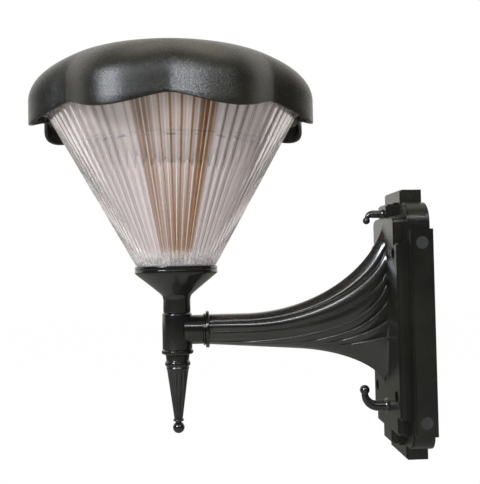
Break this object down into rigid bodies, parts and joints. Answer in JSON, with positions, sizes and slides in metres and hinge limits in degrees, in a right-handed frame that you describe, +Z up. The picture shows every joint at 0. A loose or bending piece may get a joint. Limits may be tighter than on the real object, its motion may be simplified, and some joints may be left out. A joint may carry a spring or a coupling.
{
  "type": "solar wall light",
  "caption": "Solar wall light: petal-edged canopy with a round solar panel, ribbed clear cone shade, pendant, fluted arm and stepped wall plate with scroll hooks.",
  "frame": {"origin": "centre of the four wall screws, on the wall plane", "axes": "+Y into the wall, so the light stands out along -Y; +Z up; +X along the wall, to the right of someone who faces the wall"},
  "size_m": [0.2276, 0.3188, 0.3338],
  "materials": {
    "black_satin": "semi-gloss black with a fine orange-peel skin",
    "black_gloss": "glossy black",
    "clear_ribbed": "clear, ribbed outside",
    "white_tray": "smooth white",
    "steel": "plain zinc-plated",
    "black_rubber": "matt",
    "panel_glass": "clear float glass",
    "silicon": "dark blue",
    "circuit_board": "green solder mask",
    "white_board": "white solder mask",
    "led_yellow": "phosphor yellow",
    "cell_wrap": "blue film",
    "wire_red": "soft insulation",
    "dark_plastic": "matt moulded"
  },
  "bodies": {
    "light": {"wall_plate": "black_gloss", "side_plugs": "black_satin", "arm": "black_satin", "arm_screws": "steel", "upper_hook": "black_gloss", "lower_hook": "black_gloss", "arm_collar": "black_gloss", "tee": "black_gloss", "pendant": "black_gloss", "stem_pipe": "steel", "lamp_cup": "black_gloss", "cup_gasket": "black_rubber", "shade": "clear_ribbed", "clamp_washer": "steel", "clamp_nut": "steel", "petal_cap": "black_satin", "shade_seal": "black_rubber", "shade_screws": "steel", "led_tray": "white_tray", "tray_screws": "steel", "led_board": "white_board", "led_chips": "led_yellow", "solar_glass": "panel_glass", "solar_cells": "silicon", "panel_backing": "circuit_board", "panel_tape": "black_rubber", "battery_holder": "dark_plastic", "battery_cell": "cell_wrap", "control_board": "circuit_board", "wiring": "wire_red", "switch_body": "dark_plastic"},
    "button": {"mode_button": "black_rubber"}
  },
  "joints": [
    {"name": "button_press", "type": "slide", "parent": "light", "child": "button", "axis": [0, 0, 1], "range_m": [0, 0.0015], "stiffness_N_per_m": 400}
  ]
}
